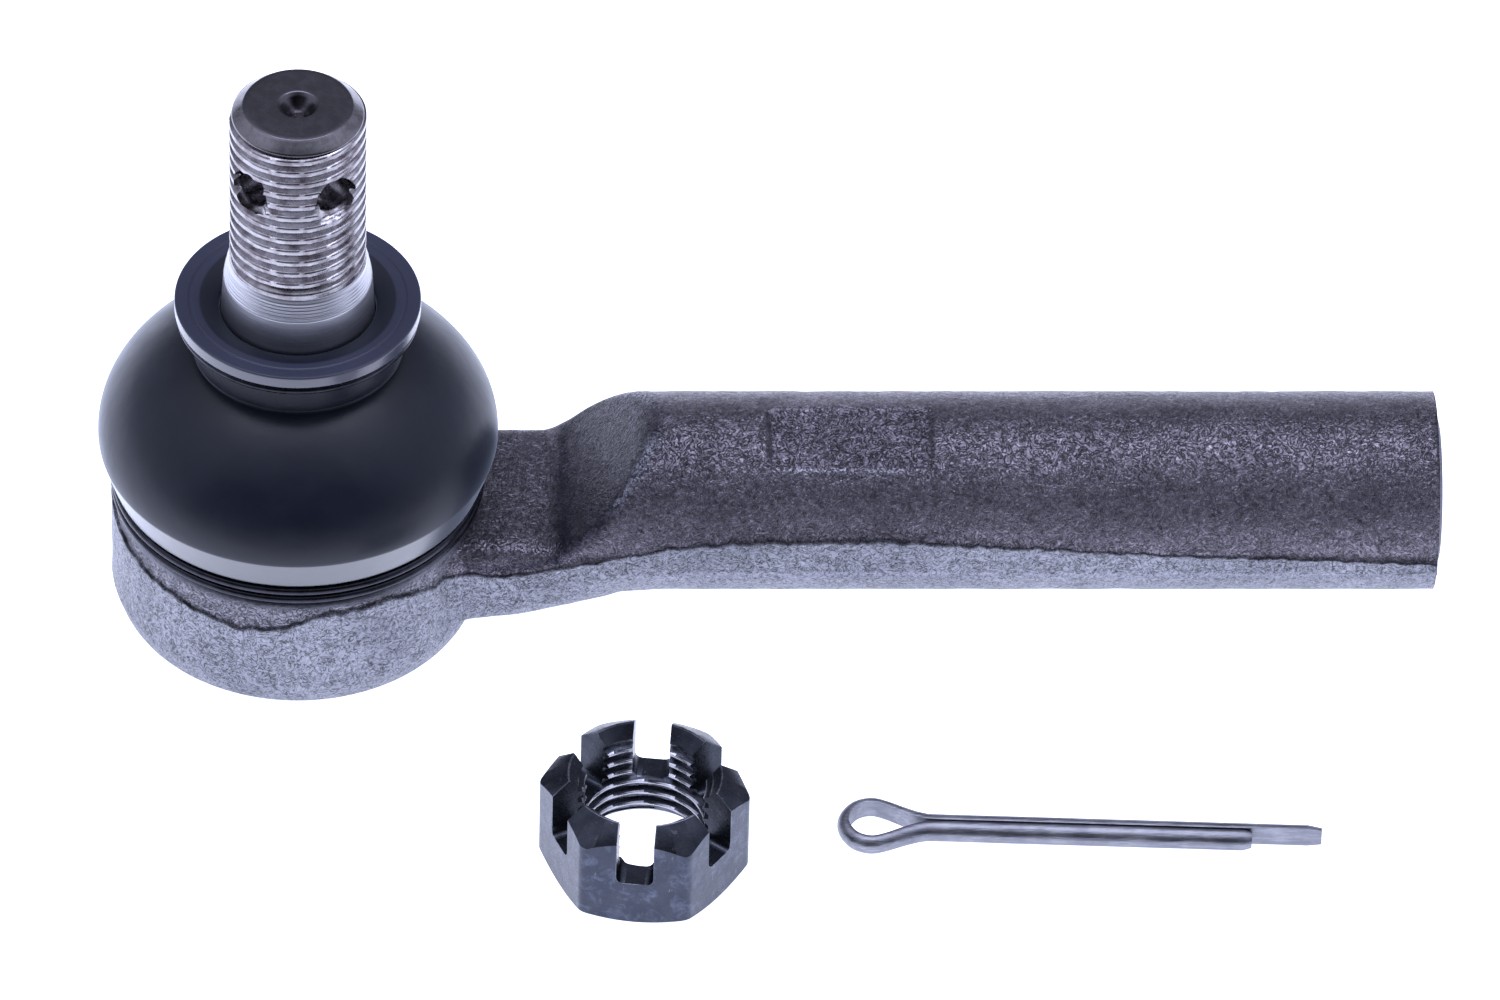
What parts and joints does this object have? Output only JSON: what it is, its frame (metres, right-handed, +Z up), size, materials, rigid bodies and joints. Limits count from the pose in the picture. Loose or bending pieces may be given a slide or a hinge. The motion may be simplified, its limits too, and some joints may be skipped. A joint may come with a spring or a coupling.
{
  "type": "tie rod end",
  "caption": "Tie rod end: a forged housing with a threaded shank, a swivelling ball stud under a rubber dust boot, and a loose castle nut and split pin.",
  "frame": {"origin": "on the stud's axis, at the flat foot of the housing", "axes": "+X along the shank towards its open end, +Z up the stud"},
  "size_m": [0.1393, 0.0714, 0.0669],
  "materials": {
    "forged_steel": "shot-blasted forging, dull grey with a violet cast",
    "ground_steel": "machined and rolled bright steel",
    "black_rubber": "satin moulded rubber",
    "spring_steel": "dark oiled spring steel",
    "phosphated_steel": "blue-grey phosphate, satin",
    "zinc_plate": "bright zinc plate",
    "plated_steel": "dull plated pressing",
    "white_plastic": "off-white acetal"
  },
  "bodies": {
    "housing": {"housing": "forged_steel", "end_cap": "plated_steel", "preload_spring": "spring_steel", "dust_boot": "black_rubber", "boot_clamp_ring": "spring_steel"},
    "bearing": {"upper_bearing_seat": "white_plastic", "lower_bearing_seat": "white_plastic"},
    "boot_neck": {"boot_neck_ring": "spring_steel"},
    "stud": {"ball_stud": "ground_steel"},
    "castle_nut": {"castle_nut": "phosphated_steel"},
    "cotter_pin": {"cotter_pin": "zinc_plate"}
  },
  "joints": [
    {"name": "swing_direction", "type": "hinge", "parent": "housing", "child": "bearing", "pos_m": [0, 0, 0.0143], "axis": [0, 0, 1], "range_deg": [-90, 90]},
    {"name": "swing_angle", "type": "hinge", "parent": "bearing", "child": "boot_neck", "pos_m": [0, 0, 0.0143], "axis": [0, 1, 0], "range_deg": [-22, 22], "deforming": ["dust_boot"]},
    {"name": "stud_spin", "type": "hinge", "parent": "boot_neck", "child": "stud", "pos_m": [0, 0, 0.0143], "axis": [0, 0, 1], "continuous": true},
    {"name": "castle_nut_lift", "type": "slide", "parent": "housing", "child": "castle_nut", "axis": [0, 0, 1], "range_m": [0, 0.06]},
    {"name": "cotter_pin_lift", "type": "slide", "parent": "housing", "child": "cotter_pin", "axis": [0, 0, 1], "range_m": [0, 0.06]}
  ]
}
